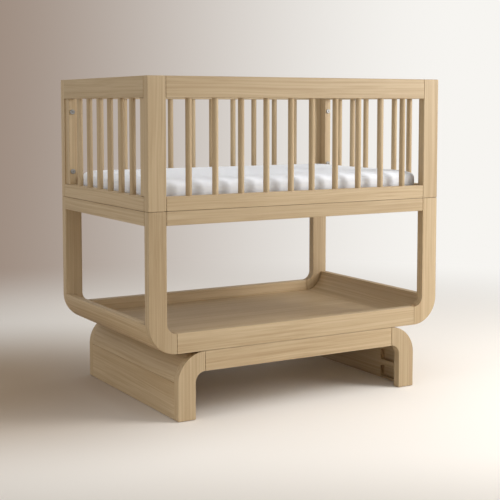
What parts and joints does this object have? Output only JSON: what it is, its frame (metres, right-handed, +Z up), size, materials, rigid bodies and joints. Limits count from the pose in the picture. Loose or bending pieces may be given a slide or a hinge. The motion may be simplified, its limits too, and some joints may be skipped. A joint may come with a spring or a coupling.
{
  "type": "bassinet",
  "caption": "Wooden bassinet: a spindle-sided crib box with a mattress, on an open stand with a curved tray shelf and a low base.",
  "frame": {"origin": "on the floor, under the middle of the bassinet", "axes": "+Z up, +X along the length, front side facing -Y"},
  "size_m": [0.9, 0.58, 0.864],
  "materials": {
    "pale_oak": "matt lacquered pale oak",
    "plain_timber": "sanded, unfinished",
    "beech": "bare",
    "mattress_cover": "white cotton fitted sheet",
    "zinc_plated_steel": "satin",
    "zinc_alloy": "satin",
    "nylon": "matt"
  },
  "bodies": {
    "frame": {"apron_bolts": "zinc_plated_steel", "back_ledger": "plain_timber", "base_back_left_leg": "pale_oak", "base_back_rail": "pale_oak", "base_back_right_leg": "pale_oak", "base_front_left_leg": "pale_oak", "base_front_rail": "pale_oak", "base_front_right_leg": "pale_oak", "base_left_curved_board": "pale_oak", "base_left_lower_stave": "pale_oak", "base_left_upper_stave": "pale_oak", "base_right_curved_board": "pale_oak", "base_right_lower_stave": "pale_oak", "base_right_upper_stave": "pale_oak", "base_tenons": "beech", "crib_back_bottom_rail": "pale_oak", "crib_back_left_post": "pale_oak", "crib_back_right_post": "pale_oak", "crib_back_spindles": "pale_oak", "crib_back_top_rail": "pale_oak", "crib_front_bottom_rail": "pale_oak", "crib_front_left_post": "pale_oak", "crib_front_right_post": "pale_oak", "crib_front_spindles": "pale_oak", "crib_front_top_rail": "pale_oak", "crib_left_back_stile": "pale_oak", "crib_left_bottom_rail": "pale_oak", "crib_left_front_stile": "pale_oak", "crib_left_spindles": "pale_oak", "crib_left_top_rail": "pale_oak", "crib_right_back_stile": "pale_oak", "crib_right_bottom_rail": "pale_oak", "crib_right_front_stile": "pale_oak", "crib_right_spindles": "pale_oak", "crib_right_top_rail": "pale_oak", "crib_tenons": "beech", "deck_panel": "pale_oak", "end_panel_bolts": "zinc_plated_steel", "floor_glides": "nylon", "front_ledger": "plain_timber", "ledger_screws": "zinc_plated_steel", "mattress_slats": "plain_timber", "shelf_panel": "pale_oak", "short_bolts": "zinc_plated_steel", "stand_back_apron": "pale_oak", "stand_back_left_post": "pale_oak", "stand_back_rail": "pale_oak", "stand_back_right_post": "pale_oak", "stand_front_apron": "pale_oak", "stand_front_left_post": "pale_oak", "stand_front_rail": "pale_oak", "stand_front_right_post": "pale_oak", "stand_left_apron": "pale_oak", "stand_left_curved_board": "pale_oak", "stand_right_apron": "pale_oak", "stand_right_curved_board": "pale_oak", "stand_tenons": "beech", "threaded_inserts": "zinc_alloy"},
    "mattress_body": {"mattress": "mattress_cover"}
  },
  "joints": [
    {"name": "mattress_lift", "type": "slide", "parent": "frame", "child": "mattress_body", "axis": [0, 0, 1], "range_m": [0, 0.36]}
  ]
}
